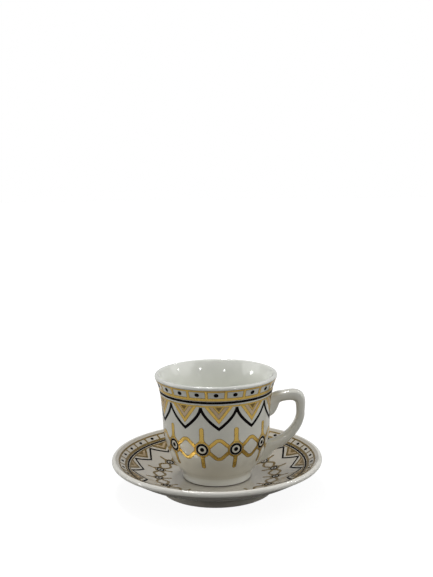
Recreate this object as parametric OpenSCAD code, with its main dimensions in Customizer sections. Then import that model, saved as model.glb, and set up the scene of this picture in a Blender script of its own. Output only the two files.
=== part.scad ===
// Handled porcelain coffee cup on its saucer, with a fired gold and black border.
// Lengths are millimetres and +Z is up. The saucer stands on the origin, the cup stands in its well,
// the handle points along +X and the front of the cup faces -Y.

/* [Cup] */
// Radius of the cup at the outside of its lip
cup_r = 33; // [31:0.25:36]
// Height of the cup from its foot to the top of its lip
cup_h = 57.6; // [54:0.2:64]
// Radius of the foot where the cup stands
foot_r = 18.6; // [16.5:0.1:20]
// Height of the foot below the bowl
foot_h = 4.2; // [3.4:0.1:6]
// How much wider the foot is where it meets the bowl
foot_flare = 0.4; // [0:0.1:1.5]
// Width of the foot where it stands
foot_w = 2.4; // [1.6:0.1:4]
// Depth of the hollow inside the foot
foot_hollow = 2.8; // [1.5:0.1:3.4]
// Radius of the upright wall at the height where the bowl ends
wall_r = 28.9; // [27:0.1:30.5]
// Height above the foot where the bowl becomes the upright wall
wall_z = 30; // [27:0.5:34]
// Thickness of the wall
wall_t = 2.5; // [1.8:0.1:3.2]
// Height of the inside floor above the foot
floor_z = 6.6; // [5.6:0.1:8.5]
// Radius of the rounded lip
lip_r = 1.15; // [0.9:0.05:1.4]
// Lean of the wall at the lip, in degrees from upright
lip_lean = 27; // [16:1:36]

/* [Handle] */
// Reach of the handle out from the cup's wall
handle_reach = 19; // [16:0.5:23]
// Drop from the top of the lip to the top of the handle
handle_drop = 10.2; // [8:0.2:13]
// Height of the lower end of the handle above the cup's foot
handle_tail = 7.2; // [5.5:0.1:9]
// Width of the strap
strap_w = 6.8; // [5:0.1:9]
// Thickness of the strap
strap_t = 4.9; // [3.6:0.1:6]
// Slip joint between the handle and the cup's wall
root_gap = 0.05; // [0.02:0.01:0.2]

/* [Saucer] */
// Radius of the saucer at the outside of its lip
saucer_r = 57; // [54:0.5:63]
// Height of the top of the saucer's lip above the table
saucer_h = 18.5; // [16:0.1:22]
// Flat floor of the well around the cup's foot
well_margin = 2.4; // [1.5:0.1:5]
// Height of the well's floor above the table
well_z = 6.5; // [5.5:0.1:8]
// Thickness of the saucer
saucer_t = 2.8; // [2:0.1:3.4]
// Radius of the rounded saucer lip
saucer_lip_r = 1.4; // [1:0.05:1.7]
// Rise of the saucer's flange at its lip, in degrees
flange_rise = 29; // [20:1:36]
// Radius of the foot ring under the saucer
ring_r = 30.8; // [27:0.2:34]
// Width of the foot ring where it stands
ring_w = 2.6; // [1.8:0.1:4]
// How much the foot ring spreads on its way up to the dish
ring_flare = 2.6; // [1:0.1:4]

/* [Decoration] */
// Thickness of the fired gold and black layers
film_t = 0.1; // [0.06:0.01:0.2]
// Glaze left between a fired layer and the porcelain under it
film_gap = 0.04; // [0.03:0.01:0.08]
// Panels round the cup's border
cup_panels = 20; // [16:2:24]
// Scallops, and eyes of the chain, round the cup
cup_repeats = 10; // [8:1:12]
// Panels round the saucer's border
saucer_panels = 32; // [26:2:38]
// Zigzag points, and eyes of the chain, round the saucer
saucer_repeats = 16; // [14:1:18]

/* [Cup border] */
// From the middle of the rounded lip down to the border
border_drop = 0.6; // [0.5:0.1:1.2]
// Width of the gold line above the panels
cup_line_w = 1.1; // [0.6:0.1:1.6]
// Height of the white panels
cup_panel_h = 3.2; // [2.4:0.1:3.8]
// Width of the gold bars between the panels
cup_bar_w = 1.7; // [1:0.1:2.6]
// Width of the gold band under the panels
cup_band_w = 1.7; // [0.8:0.1:2.2]
// Radius of the black dots in the panels
cup_dot_r = 1.15; // [0.6:0.05:1.3]
// White line above the black stripe
cup_stripe_gap = 0.25; // [0.2:0.05:0.6]
// Width of the black stripe
cup_stripe_w = 1.35; // [0.6:0.05:1.6]

/* [Cup scallops] */
// White line between the black stripe and the chevrons
cup_chevron_gap = 0.3; // [0.2:0.1:0.8]
// Width of the gold line that the chevrons hang from
cup_chevron_line_w = 0.9; // [0.5:0.1:1.2]
// Drop of the largest chevron below its gold line
cup_chevron_drop = 8.9; // [7:0.1:9.8]
// Stroke of the largest chevron
cup_chevron_w = 1.65; // [0.9:0.05:1.9]
// Drop of the black scallops below the gold line
scallop_drop = 13.5; // [11.8:0.1:14.5]
// Stroke of the black scallops
scallop_w = 1.5; // [0.8:0.05:1.8]
// Turn of the scallops and the chain away from the front, in degrees
scallop_turn = 2.5; // [0:0.5:36]

/* [Cup chain] */
// Outer radius of the black eye rings
cup_eye_r = 3.25; // [2.4:0.05:3.6]
// Stroke of the black eye rings
cup_eye_w = 1.1; // [0.5:0.05:1.3]
// Radius of the pupils
cup_pupil_r = 1.15; // [0.5:0.05:1.4]
// Width of the gold ring round each eye
cup_halo_w = 1.05; // [0.5:0.05:1.4]
// Half the height of the gold links
cup_link_h = 5.95; // [4.8:0.05:6.6]
// Stroke of the gold links
cup_link_w = 1.7; // [0.8:0.05:2]
// Reach of the upper bars past the points of the scallops
cup_bar_past = 1.85; // [0:0.05:3]
// Bare wall between the foot and the lower bars
cup_bar_rest = 8.2; // [6:0.1:11]
// Width of the upper bars
cup_upper_bar_w = 2.2; // [1.2:0.05:2.8]
// Width of the lower bars
cup_lower_bar_w = 1.9; // [1.2:0.05:2.4]

/* [Saucer border] */
// White margin outside the gold border
rim_margin = 3.6; // [3:0.1:5]
// Width of the gold line outside the panels
saucer_line_w = 0.9; // [0.5:0.05:1.2]
// Depth of the white panels
saucer_panel_h = 2.4; // [2:0.1:3]
// Width of the gold bars between the panels
saucer_bar_w = 1.15; // [0.6:0.05:1.6]
// Width of the gold band inside the panels
saucer_band_w = 1.3; // [0.8:0.05:1.6]
// Radius of the black dots in the panels
saucer_dot_r = 0.85; // [0.4:0.05:0.95]
// White line outside the black stripe
saucer_stripe_gap = 0.25; // [0.2:0.05:0.5]
// Width of the black stripe
saucer_stripe_w = 0.7; // [0.5:0.05:1.2]
// Turn of the panels away from the front, in degrees
saucer_border_turn = 2.7; // [0:0.1:11]

/* [Saucer zigzag] */
// White line between the black stripe and the chevrons
saucer_chevron_gap = 0.3; // [0.2:0.05:0.5]
// Width of the gold line that the chevrons stand on
saucer_chevron_line_w = 0.7; // [0.5:0.05:0.9]
// Depth of the largest chevron inside its gold line
saucer_chevron_drop = 4.6; // [3.8:0.1:5]
// Stroke of the largest chevron
saucer_chevron_w = 0.95; // [0.6:0.05:1.1]
// Depth of the black zigzag inside the gold line
zigzag_drop = 7; // [6.4:0.1:7.6]
// Stroke of the black zigzag
zigzag_w = 1.1; // [0.7:0.05:1.3]

/* [Saucer chain] */
// Outer radius of the black eye rings
saucer_eye_r = 1.9; // [1.5:0.05:2.2]
// Stroke of the black eye rings
saucer_eye_w = 0.6; // [0.35:0.05:0.7]
// Radius of the pupils
saucer_pupil_r = 0.6; // [0.35:0.05:0.8]
// Width of the gold ring round each eye
saucer_halo_w = 0.7; // [0.5:0.05:0.9]
// Half the depth of the gold links
saucer_link_h = 3.7; // [3:0.1:4.2]
// Stroke of the gold links
saucer_link_w = 1.15; // [0.7:0.05:1.4]
// Gap between the circle of the zigzag's points and the outward bars
saucer_bar_clear = 0.6; // [0.3:0.1:2]
// Bare dish between the well and the inward bars
saucer_bar_rest = 4; // [3:0.1:6]
// Width of the bars of the chain
saucer_chain_bar_w = 1.1; // [0.7:0.05:1.4]

/* [Hidden] */
$fn = 96;
// Overrun of every cut past the face that it cuts
overrun = 2;
// White line kept between two fired layers that meet
film_clear = 0.12;
// Bare porcelain kept round the roots of the handle
root_margin = 0.9;
// Rounded edge of the feet
foot_edge = 0.5;
// Shortest step kept along a band of a profile
band_step = 0.15;
// Steps of each curved stretch of a profile, of a lip and of a scallop
curve_steps = 14;
lip_steps = 8;
scallop_steps = 8;
// Steps of the handle between two of its points, and sides of its strap
strap_steps = 3;
strap_sides = 20;
// Squareness of the strap's section: 1 is an ellipse and 0 a rectangle
strap_square_share = 0.72;
// Growth of the strap's width at its roots
root_width_share = 1.12;

// Pull points of the bowl, as shares of its width and of its height
bowl_shares = [[0.48, 0.17], [0.97, 0.51]];
// Pull points of the flare: up the wall, and back from the lip
flare_out_share = 0.17;
flare_up_share = 0.6;
flare_back_share = 0.21;
// Pull points of the inside bowl: down the wall, and out along the floor
inside_drop_share = 0.68;
inside_floor_share = 0.8;
// Pull points of the dish: out along the well, and back from the lip
dish_well_share = 0.51;
dish_back_share = 0.26;
// Pull of a scallop beside its cusp, as shares of its half width and of its drop
scallop_pull_shares = [0.1, 0.45];
// Half width of the largest chevron, as a share of half a repeat
chevron_share = 0.73;
// Second chevron and middle triangle, and the second chevron's stroke, as shares of the largest
chevron_nest_shares = [0.65, 0.215];
chevron_stroke_share = 1.28;
// Height of the chain, as a share of the wall from the cup's foot up to the points of the scallops
chain_height_share = 0.657;
// Circle of the saucer's eyes, as a share of the dish from the well out to the points of the zigzag
eye_circle_share = 0.589;
// Blunt top and side corners of a link, as shares of its half width and of its half height
link_top_share = 0.28;
link_corner_share = 0.437;
// Strokes at the blunt top and at the sides of a link, as shares of its slanting strokes
link_top_stroke_share = 0.94;
link_side_stroke_share = 0.48;
// Spread root of a bar, across and along it, as shares of the radius of the eye's gold ring
bar_root_share = 0.6;
bar_spread_share = 1.42;
// Line of the handle from its upper root to its tail. Each row is the reach beyond the wall, the height
// from the tail to the top, and half the thickness, as shares of the handle's sizes
handle_shares = [[-0.153, 0.659, 0.379], [-0.023, 0.682, 0.505], [0.051, 0.733, 0.594],
                 [0.073, 0.842, 0.675], [0.165, 0.903, 0.65], [0.351, 0.925, 0.584],
                 [0.601, 0.937, 0.62], [0.762, 0.906, 0.7], [0.845, 0.838, 0.551],
                 [0.86, 0.721, 0.493], [0.866, 0.659, 0.483], [0.827, 0.576, 0.477],
                 [0.753, 0.499, 0.497], [0.66, 0.429, 0.508], [0.558, 0.37, 0.545],
                 [0.431, 0.31, 0.598], [0.288, 0.266, 0.623], [0.174, 0.235, 0.702],
                 [0.08, 0.17, 0.727], [0.028, 0.098, 0.669], [-0.015, 0.057, 0.47],
                 [-0.065, 0.03, 0.2]];
// Rows of the handle's line that lie in its two roots
upper_root_shares = [0.605, 0.965];
lower_root_shares = [-0.04, 0.34];

// Point at t on a curve with two pull points, and the whole curve in steps
function curve_point(a, b, c, d, t) =
    pow(1 - t, 3) * a + 3 * t * pow(1 - t, 2) * b + 3 * t * t * (1 - t) * c + t * t * t * d;
function curve(a, b, c, d, steps) = [for (i = [0:steps]) curve_point(a, b, c, d, i / steps)];
// Points of an arc between two angles
function arc(middle, radius, from, to, steps) =
    [for (i = [0:steps]) let (a = from + (to - from) * i / steps) middle + radius * [cos(a), sin(a)]];
function reversed(list) = [for (i = [len(list) - 1:-1:0]) list[i]];
function without_first(list) = [for (i = [1:len(list) - 1]) list[i]];

// Cup profile, with heights counted from the cup's foot
handle_top = cup_h - handle_drop;
lip_middle = [cup_r - lip_r, cup_h - lip_r];
lip_side = [cos(lip_lean), -sin(lip_lean)];
lip_down = [sin(lip_lean), cos(lip_lean)];
neck = [foot_r + foot_flare, foot_h];
wall_end = [wall_r, wall_z];
// Curve from the upright wall to the side of the lip
function flare(low, high) =
    let (rise = high.y - low.y)
    curve(low, [low.x + (high.x - low.x) * flare_out_share, low.y + rise * flare_up_share],
          high - lip_down * rise * flare_back_share, high, curve_steps);
bowl = curve(neck, [for (i = [0:1]) neck[i] + bowl_shares[0][i] * (wall_end[i] - neck[i])],
             [for (i = [0:1]) neck[i] + bowl_shares[1][i] * (wall_end[i] - neck[i])],
             wall_end, curve_steps);
outer_wall = concat(bowl, without_first(flare(wall_end, lip_middle + lip_r * lip_side)));
inner_end = [wall_r - wall_t, wall_z];
inner_wall = concat(
    reversed(flare(inner_end, lip_middle - lip_r * lip_side)),
    without_first(curve(inner_end, [inner_end.x, wall_z - (wall_z - floor_z) * inside_drop_share],
                        [inner_end.x * inside_floor_share, floor_z], [0, floor_z], curve_steps)));
foot_line = [[foot_r - foot_edge, 0], [foot_r, foot_edge]];
wall_table = [for (p = concat(foot_line, outer_wall)) [p.y, p.x]];
function wall_radius(height) = lookup(height, wall_table);
// Stretch of the outside wall between two heights
function wall_band(low, high) =
    concat([[wall_radius(low), low]],
           [for (p = outer_wall) if (p.y > low + band_step && p.y < high - band_step) p],
           [[wall_radius(high), high]]);

// Saucer profile, with heights counted from the table
well_r = foot_r + well_margin;
dish_lip_middle = [saucer_r - saucer_lip_r, saucer_h - saucer_lip_r];
dish_lip_up = [-sin(flange_rise), cos(flange_rise)];
dish_end = dish_lip_middle + saucer_lip_r * dish_lip_up;
dish = curve([well_r, well_z], [well_r + (dish_end.x - well_r) * dish_well_share, well_z],
             dish_end - [cos(flange_rise), sin(flange_rise)] * (dish_end.x - well_r) * dish_back_share,
             dish_end, 2 * curve_steps);
dish_table = [for (p = concat([[0, well_z]], dish)) [p.x, p.y]];
function dish_height(radius) = lookup(radius, dish_table);
// Stretch of the dish between two radii
function dish_band(inner, outer) =
    concat([[inner, dish_height(inner)]],
           [for (p = dish) if (p.x > inner + band_step && p.x < outer - band_step) p],
           [[outer, dish_height(outer)]]);
// Underside of the dish: each point goes down square to the dish, by a thickness that ends at the lip's
function dish_slope(i) = dish[min(i + 1, len(dish) - 1)] - dish[max(i - 1, 0)];
underside = [for (i = [0:len(dish) - 1])
    let (d = dish_slope(i), thick = saucer_t + (2 * saucer_lip_r - saucer_t) * i / (len(dish) - 1))
    dish[i] + thick * [d.y, -d.x] / norm(d)];
ring_top_r = ring_r + ring_flare;
ring_top = [ring_top_r, lookup(ring_top_r, underside)];
ring_roof_z = well_z - saucer_t;

// Heights of the cup's decoration above its foot, from the lip down
border_top = lip_middle.y - border_drop;
cup_panel_top = border_top - cup_line_w;
cup_panel_low = cup_panel_top - cup_panel_h;
border_low = cup_panel_low - cup_band_w;
cup_stripe_top = border_low - cup_stripe_gap;
cup_stripe_low = cup_stripe_top - cup_stripe_w;
cup_chevron_top = cup_stripe_low - cup_chevron_gap;
cup_chevron_base = cup_chevron_top - cup_chevron_line_w;
scallop_top = cup_chevron_base - film_clear;
scallop_low = cup_chevron_base - scallop_drop;
chain_z = foot_h + chain_height_share * (scallop_low - foot_h);
cup_bar_up = scallop_low + cup_bar_past - chain_z;
cup_bar_down = chain_z - foot_h - cup_bar_rest;
// Halves of a repeat across the cup's wall
cup_step = 360 / cup_repeats;
cup_half_repeat = wall_radius(scallop_top) * sin(cup_step / 2);
cup_half_chain = wall_radius(chain_z) * sin(cup_step / 2);
cup_halo_r = cup_eye_r + film_clear + cup_halo_w;

// Radii of the saucer's decoration, from the lip inward
saucer_border_r = saucer_r - rim_margin;
saucer_panel_out = saucer_border_r - saucer_line_w;
saucer_panel_in = saucer_panel_out - saucer_panel_h;
saucer_border_in = saucer_panel_in - saucer_band_w;
saucer_stripe_out = saucer_border_in - saucer_stripe_gap;
saucer_stripe_in = saucer_stripe_out - saucer_stripe_w;
saucer_chevron_out = saucer_stripe_in - saucer_chevron_gap;
saucer_chevron_base = saucer_chevron_out - saucer_chevron_line_w;
zigzag_out = saucer_chevron_base - film_clear;
zigzag_in = saucer_chevron_base - zigzag_drop;
eye_circle_r = well_r + eye_circle_share * (zigzag_in - well_r);
saucer_bar_out = zigzag_in - eye_circle_r - saucer_bar_clear;
saucer_bar_in = eye_circle_r - well_r - saucer_bar_rest;
// Halves of a repeat across the saucer
saucer_step = 360 / saucer_repeats;
saucer_half_repeat = zigzag_out * sin(saucer_step / 2);
saucer_half_chain = eye_circle_r * sin(saucer_step / 2);
saucer_halo_r = saucer_eye_r + film_clear + saucer_halo_w;

// Line of the handle: smooth through the points of its table, each as reach, height and half thickness
function handle_point(row) =
    let (height = handle_tail + row[1] * (handle_top - handle_tail))
    [wall_radius(height) + row[0] * handle_reach, height, row[2] * strap_t];
handle_points = [for (row = handle_shares) handle_point(row)];
handle_last = len(handle_points) - 1;
function handle_knot(i) = handle_points[min(max(i, 0), handle_last)];
function smooth_point(a, b, c, d, t) =
    b + (c - a) * t / 2 + (2 * a - 5 * b + 4 * c - d) * t * t / 2 + (3 * b - a - 3 * c + d) * t * t * t / 2;
handle_line = [for (s = [0:handle_last * strap_steps])
    let (i = min(floor(s / strap_steps), handle_last - 1))
    smooth_point(handle_knot(i - 1), handle_knot(i), handle_knot(i + 1), handle_knot(i + 2),
                 s / strap_steps - i)];
line_last = len(handle_line) - 1;
// One rounded section of the strap, square to the handle's line
function squared(value) = sign(value) * pow(abs(value), strap_square_share);
function strap_section(i) =
    let (here = handle_line[i], ahead = handle_line[min(i + 1, line_last)],
         behind = handle_line[max(i - 1, 0)],
         along = [ahead[0] - behind[0], ahead[1] - behind[1]],
         run = along / norm(along),
         half_w = strap_w / 2 * (1 + (root_width_share - 1) * pow(abs(2 * i / line_last - 1), 2)))
    [for (s = [0:strap_sides - 1])
        let (a = 360 * s / strap_sides, out = here[2] * squared(cos(a)))
        [here[0] - run[1] * out, half_w * squared(sin(a)), here[1] + run[0] * out]];

// Outline of the cup filled to its axis, grown by a gap
module cup_outline(gap) {
    polygon(concat([[0, -overrun], [foot_r + gap, -overrun]],
                   [for (p = concat([foot_line[1]], outer_wall)) [p.x + gap, p.y]],
                   [[cup_r + gap, cup_h + overrun], [0, cup_h + overrun]]));
}

// Layer on the cup's wall between two heights
module wall_film(low, high) {
    band = wall_band(low, high);
    translate([0, 0, well_z])
        rotate_extrude()
            polygon(concat([for (p = band) [p.x + film_gap, p.y]],
                           [for (p = reversed(band)) [p.x + film_gap + film_t, p.y]]));
}

// Flat motif carried out through the cup's wall, at an angle from the front and a height above the foot
module through_wall(angle, height) {
    near = foot_r;
    translate([0, 0, well_z + height])
        rotate([90, 0, angle])
            translate([0, 0, near])
                linear_extrude(cup_r + overrun - near)
                    children();
}

// Bare patches round the roots of the handle
module root_patches() {
    half_w = root_width_share * strap_w / 2 + root_margin;
    for (ends = [upper_root_shares, lower_root_shares]) {
        low = handle_tail + ends[0] * (handle_top - handle_tail) - root_margin;
        high = handle_tail + ends[1] * (handle_top - handle_tail) + root_margin;
        through_wall(90, 0) {
            translate([-half_w, low + half_w]) square([2 * half_w, high - low - 2 * half_w]);
            translate([0, low + half_w]) circle(half_w);
            translate([0, high - half_w]) circle(half_w);
        }
    }
}

// Layer on the dish between two radii
module dish_film(inner, outer) {
    band = dish_band(inner, outer);
    rotate_extrude()
        polygon(concat([for (p = band) [p.x, p.y + film_gap]],
                       [for (p = reversed(band)) [p.x, p.y + film_gap + film_t]]));
}

// Flat motif carried down through the dish, at an angle from the front and with its y along the radius
module through_dish(angle) {
    rotate([0, 0, angle + 180])
        linear_extrude(saucer_h + overrun)
            children();
}

// Two strokes that mirror each other and meet in a point, along a line of points, with the stroke's
// edges moved up and down so that both ends are mitred
module mirrored_strokes(line, stroke) {
    last = len(line) - 1;
    rise = [for (i = [0:last])
        let (d = line[min(i + 1, last)] - line[max(i - 1, 0)])
        stroke / 2 * norm(d) / abs(d.x)];
    for (side = [0, 1])
        mirror([side, 0])
            polygon(concat([for (i = [0:last]) line[i] + [0, rise[i]]],
                           [for (i = [last:-1:0]) line[i] - [0, rise[i]]]));
}

// Nested chevrons that hang from their line: two strokes and a filled triangle
module chevrons(half_w, drop, stroke, root) {
    slope = drop / half_w;
    rise = stroke * norm([half_w, drop]) / half_w;
    for (nest = [[1, 1], [chevron_nest_shares[0], chevron_stroke_share]]) {
        tip = drop * nest[0];
        inside = tip - rise * nest[1];
        polygon([[-(tip + root) / slope, root], [0, -tip], [(tip + root) / slope, root],
                 [(inside + root) / slope, root], [0, -inside], [-(inside + root) / slope, root]]);
    }
    tip = drop * chevron_nest_shares[1];
    polygon([[-(tip + root) / slope, root], [0, -tip], [(tip + root) / slope, root]]);
}

// Corners of a figure that is the same on both sides, above and below
function mirrored_corners(top, side) =
    [top, side, [side.x, -side.y], [top.x, -top.y],
     [-top.x, -top.y], [-side.x, -side.y], [-side.x, side.y], [-top.x, top.y]];

// Blunt six-sided link drawn as an outline, its inner edges level with the outer ones
module link(half_w, half_h, stroke) {
    top = [half_w * link_top_share, half_h];
    side = [half_w, half_h * link_corner_share];
    run = (side - top) / norm(side - top);
    inside = top + stroke * [run.y, -run.x];
    inner_h = half_h - stroke * link_top_stroke_share;
    inner_w = half_w - stroke * link_side_stroke_share;
    difference() {
        polygon(mirrored_corners(top, side));
        polygon(mirrored_corners(inside + run * (inner_h - inside.y) / run.y,
                                 inside + run * (inner_w - inside.x) / run.x));
    }
}

// Ring round an eye
module ring(outer, stroke) {
    difference() {
        circle(outer);
        circle(outer - stroke);
    }
}

// Bar with a rounded end, from the middle of an eye
module bar(width, reach) {
    translate([-width / 2, 0]) square([width, reach - width / 2]);
    translate([0, reach - width / 2]) circle(width / 2);
}

// Gold ring of an eye with its two bars, the first of them spreading into the ring
module halo(radius, stroke, up_w, up, down_w, down) {
    root = radius * [bar_root_share, sqrt(1 - pow(bar_root_share, 2))];
    spread = radius * bar_spread_share;
    difference() {
        union() {
            circle(radius);
            bar(up_w, up);
            mirror([0, 1]) bar(down_w, down);
            polygon([[-root.x, root.y], [root.x, root.y], [up_w / 2, spread], [-up_w / 2, spread]]);
        }
        circle(radius - stroke);
    }
}

// Black ring and pupil of an eye
module eye(radius, stroke, pupil) {
    ring(radius, stroke);
    circle(pupil);
}

module saucer_dish() {
    color("whitesmoke")
        rotate_extrude()
            polygon(concat(
                [[0, well_z]], dish,
                without_first(arc(dish_lip_middle, saucer_lip_r, 90 + flange_rise, flange_rise - 90,
                                  lip_steps)),
                [for (p = without_first(reversed(underside))) if (p.x > ring_top_r + band_step) p],
                curve(ring_top, [ring_r + ring_flare / 2, ring_top.y], [ring_r, ring_top.y],
                      [ring_r, foot_edge], lip_steps),
                [[ring_r - foot_edge, 0], [ring_r - ring_w + foot_edge, 0], [ring_r - ring_w, foot_edge],
                 [ring_r - ring_w, ring_roof_z - foot_edge], [ring_r - ring_w - foot_edge, ring_roof_z],
                 [0, ring_roof_z]]));
}

module saucer_gold_border() {
    half_panel = saucer_panel_out * sin(180 / saucer_panels) - saucer_bar_w / 2;
    color("goldenrod")
        difference() {
            dish_film(saucer_border_in, saucer_border_r);
            for (i = [0:saucer_panels - 1])
                through_dish(saucer_border_turn + 360 * i / saucer_panels)
                    polygon([[-half_panel, saucer_panel_out], [half_panel, saucer_panel_out],
                             [half_panel * saucer_panel_in / saucer_panel_out, saucer_panel_in],
                             [-half_panel * saucer_panel_in / saucer_panel_out, saucer_panel_in]]);
        }
}

module saucer_border_dots() {
    color("black")
        intersection() {
            dish_film(saucer_panel_in, saucer_panel_out);
            for (i = [0:saucer_panels - 1])
                through_dish(saucer_border_turn + 360 * i / saucer_panels)
                    translate([0, (saucer_panel_in + saucer_panel_out) / 2])
                        circle(saucer_dot_r);
        }
}

module saucer_black_stripe() {
    color("black")
        dish_film(saucer_stripe_in, saucer_stripe_out);
}

module saucer_gold_chevrons() {
    color("goldenrod") {
        dish_film(saucer_chevron_base, saucer_chevron_out);
        intersection() {
            dish_film(saucer_chevron_base - saucer_chevron_drop, saucer_chevron_base);
            for (i = [0:saucer_repeats - 1])
                through_dish(saucer_step * i)
                    translate([0, saucer_chevron_base])
                        chevrons(saucer_half_repeat * chevron_share, saucer_chevron_drop, saucer_chevron_w,
                                 overrun);
        }
    }
}

module saucer_black_zigzag() {
    cusp = [saucer_half_repeat, zigzag_out * cos(saucer_step / 2)];
    tip = [0, zigzag_in];
    color("black")
        intersection() {
            dish_film(zigzag_in - zigzag_w, zigzag_out);
            for (i = [0:saucer_repeats - 1])
                through_dish(saucer_step * i)
                    mirrored_strokes([cusp + (cusp - tip) / norm(cusp - tip) * zigzag_w, tip], zigzag_w);
        }
}

module saucer_gold_chain() {
    color("goldenrod")
        intersection() {
            dish_film(eye_circle_r - max(saucer_bar_in, saucer_link_h), eye_circle_r + saucer_bar_out);
            difference() {
                union() {
                    for (i = [0:saucer_repeats - 1]) {
                        through_dish(saucer_step * (i + 1 / 2))
                            translate([0, eye_circle_r])
                                halo(saucer_halo_r, saucer_halo_w, saucer_chain_bar_w, saucer_bar_out,
                                     saucer_chain_bar_w, saucer_bar_in);
                        through_dish(saucer_step * i)
                            translate([0, eye_circle_r * cos(saucer_step / 2)])
                                link(saucer_half_chain - saucer_halo_r + saucer_halo_w, saucer_link_h,
                                     saucer_link_w);
                    }
                }
                for (i = [0:saucer_repeats - 1])
                    through_dish(saucer_step * (i + 1 / 2))
                        translate([0, eye_circle_r])
                            circle(saucer_halo_r - saucer_halo_w);
            }
        }
}

module saucer_eye_rings() {
    color("black")
        intersection() {
            dish_film(eye_circle_r - saucer_eye_r - overrun, eye_circle_r + saucer_eye_r + overrun);
            for (i = [0:saucer_repeats - 1])
                through_dish(saucer_step * (i + 1 / 2))
                    translate([0, eye_circle_r])
                        eye(saucer_eye_r, saucer_eye_w, saucer_pupil_r);
        }
}

module cup_body() {
    color("whitesmoke")
        translate([0, 0, well_z])
            rotate_extrude()
                polygon(concat(
                    foot_line, outer_wall,
                    without_first(arc(lip_middle, lip_r, -lip_lean, 180 - lip_lean, lip_steps)),
                    without_first(inner_wall),
                    [[0, foot_hollow], [foot_r - foot_w - foot_edge, foot_hollow],
                     [foot_r - foot_w, foot_hollow - foot_edge], [foot_r - foot_w, foot_edge],
                     [foot_r - foot_w + foot_edge, 0]]));
}

module cup_handle() {
    rings = [for (i = [0:line_last]) strap_section(i)];
    color("whitesmoke")
        translate([0, 0, well_z])
            difference() {
                polyhedron([for (r = rings) for (p = r) p],
                           concat([[for (s = [0:strap_sides - 1]) s]],
                                  [for (i = [0:line_last - 1]) for (s = [0:strap_sides - 1])
                                      let (n = (s + 1) % strap_sides, here = i * strap_sides,
                                           next = here + strap_sides)
                                      for (face = [[here + s, next + s, here + n],
                                                   [here + n, next + s, next + n]])
                                      face],
                                  [[for (s = [strap_sides - 1:-1:0]) line_last * strap_sides + s]]));
                rotate_extrude()
                    cup_outline(root_gap);
            }
}

module cup_gold_border() {
    panel_mid = (cup_panel_low + cup_panel_top) / 2;
    half_panel = wall_radius(panel_mid) * sin(180 / cup_panels) - cup_bar_w / 2;
    color("goldenrod")
        difference() {
            wall_film(border_low, border_top);
            for (i = [0:cup_panels - 1])
                through_wall(360 * i / cup_panels, panel_mid)
                    square([2 * half_panel, cup_panel_h], center = true);
        }
}

module cup_border_dots() {
    color("black")
        intersection() {
            wall_film(cup_panel_low, cup_panel_top);
            for (i = [0:cup_panels - 1])
                through_wall(360 * i / cup_panels, (cup_panel_low + cup_panel_top) / 2)
                    circle(cup_dot_r);
        }
}

module cup_black_stripe() {
    color("black")
        wall_film(cup_stripe_low, cup_stripe_top);
}

module cup_gold_chevrons() {
    color("goldenrod") {
        wall_film(cup_chevron_base, cup_chevron_top);
        difference() {
            intersection() {
                wall_film(cup_chevron_base - cup_chevron_drop, cup_chevron_base);
                for (i = [0:cup_repeats - 1])
                    through_wall(scallop_turn + cup_step * i, cup_chevron_base)
                        chevrons(cup_half_repeat * chevron_share, cup_chevron_drop, cup_chevron_w, overrun);
            }
            root_patches();
        }
    }
}

module cup_black_scallops() {
    cusp = [cup_half_repeat, 0];
    tip = [0, scallop_low - scallop_top + scallop_w];
    pull = cusp + [-cusp.x * scallop_pull_shares[0], tip.y * scallop_pull_shares[1]];
    color("black")
        difference() {
            intersection() {
                wall_film(scallop_low - scallop_w, scallop_top);
                for (i = [0:cup_repeats - 1])
                    through_wall(scallop_turn + cup_step * i, scallop_top)
                        mirrored_strokes(curve(cusp, cusp + (pull - cusp) * 2 / 3,
                                               tip + (pull - tip) * 2 / 3, tip, scallop_steps),
                                         scallop_w);
            }
            root_patches();
        }
}

module cup_gold_chain() {
    color("goldenrod")
        difference() {
            intersection() {
                wall_film(chain_z - max(cup_bar_down, cup_link_h), chain_z + cup_bar_up);
                for (i = [0:cup_repeats - 1]) {
                    through_wall(scallop_turn + cup_step * (i + 1 / 2), chain_z)
                        halo(cup_halo_r, cup_halo_w, cup_upper_bar_w, cup_bar_up, cup_lower_bar_w,
                             cup_bar_down);
                    through_wall(scallop_turn + cup_step * i, chain_z)
                        link(cup_half_chain - cup_halo_r + cup_halo_w, cup_link_h, cup_link_w);
                }
            }
            for (i = [0:cup_repeats - 1])
                through_wall(scallop_turn + cup_step * (i + 1 / 2), chain_z)
                    circle(cup_halo_r - cup_halo_w);
            root_patches();
        }
}

module cup_eye_rings() {
    color("black")
        difference() {
            intersection() {
                wall_film(chain_z - cup_eye_r - overrun, chain_z + cup_eye_r + overrun);
                for (i = [0:cup_repeats - 1])
                    through_wall(scallop_turn + cup_step * (i + 1 / 2), chain_z)
                        eye(cup_eye_r, cup_eye_w, cup_pupil_r);
            }
            root_patches();
        }
}

saucer_dish();
saucer_gold_border();
saucer_border_dots();
saucer_black_stripe();
saucer_gold_chevrons();
saucer_black_zigzag();
saucer_gold_chain();
saucer_eye_rings();
cup_body();
cup_handle();
cup_gold_border();
cup_border_dots();
cup_black_stripe();
cup_gold_chevrons();
cup_black_scallops();
cup_gold_chain();
cup_eye_rings();
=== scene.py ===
"""A handled porcelain coffee cup on its saucer, with a fired border of gold and black.

Every piece is worked out with numpy in millimetres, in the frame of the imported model: +Z up, the cup and
the saucer on the Z axis, the handle along +X and the front towards -Y.
"""

import math

import bmesh
import bpy
import numpy as np
from mathutils import Matrix


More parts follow.
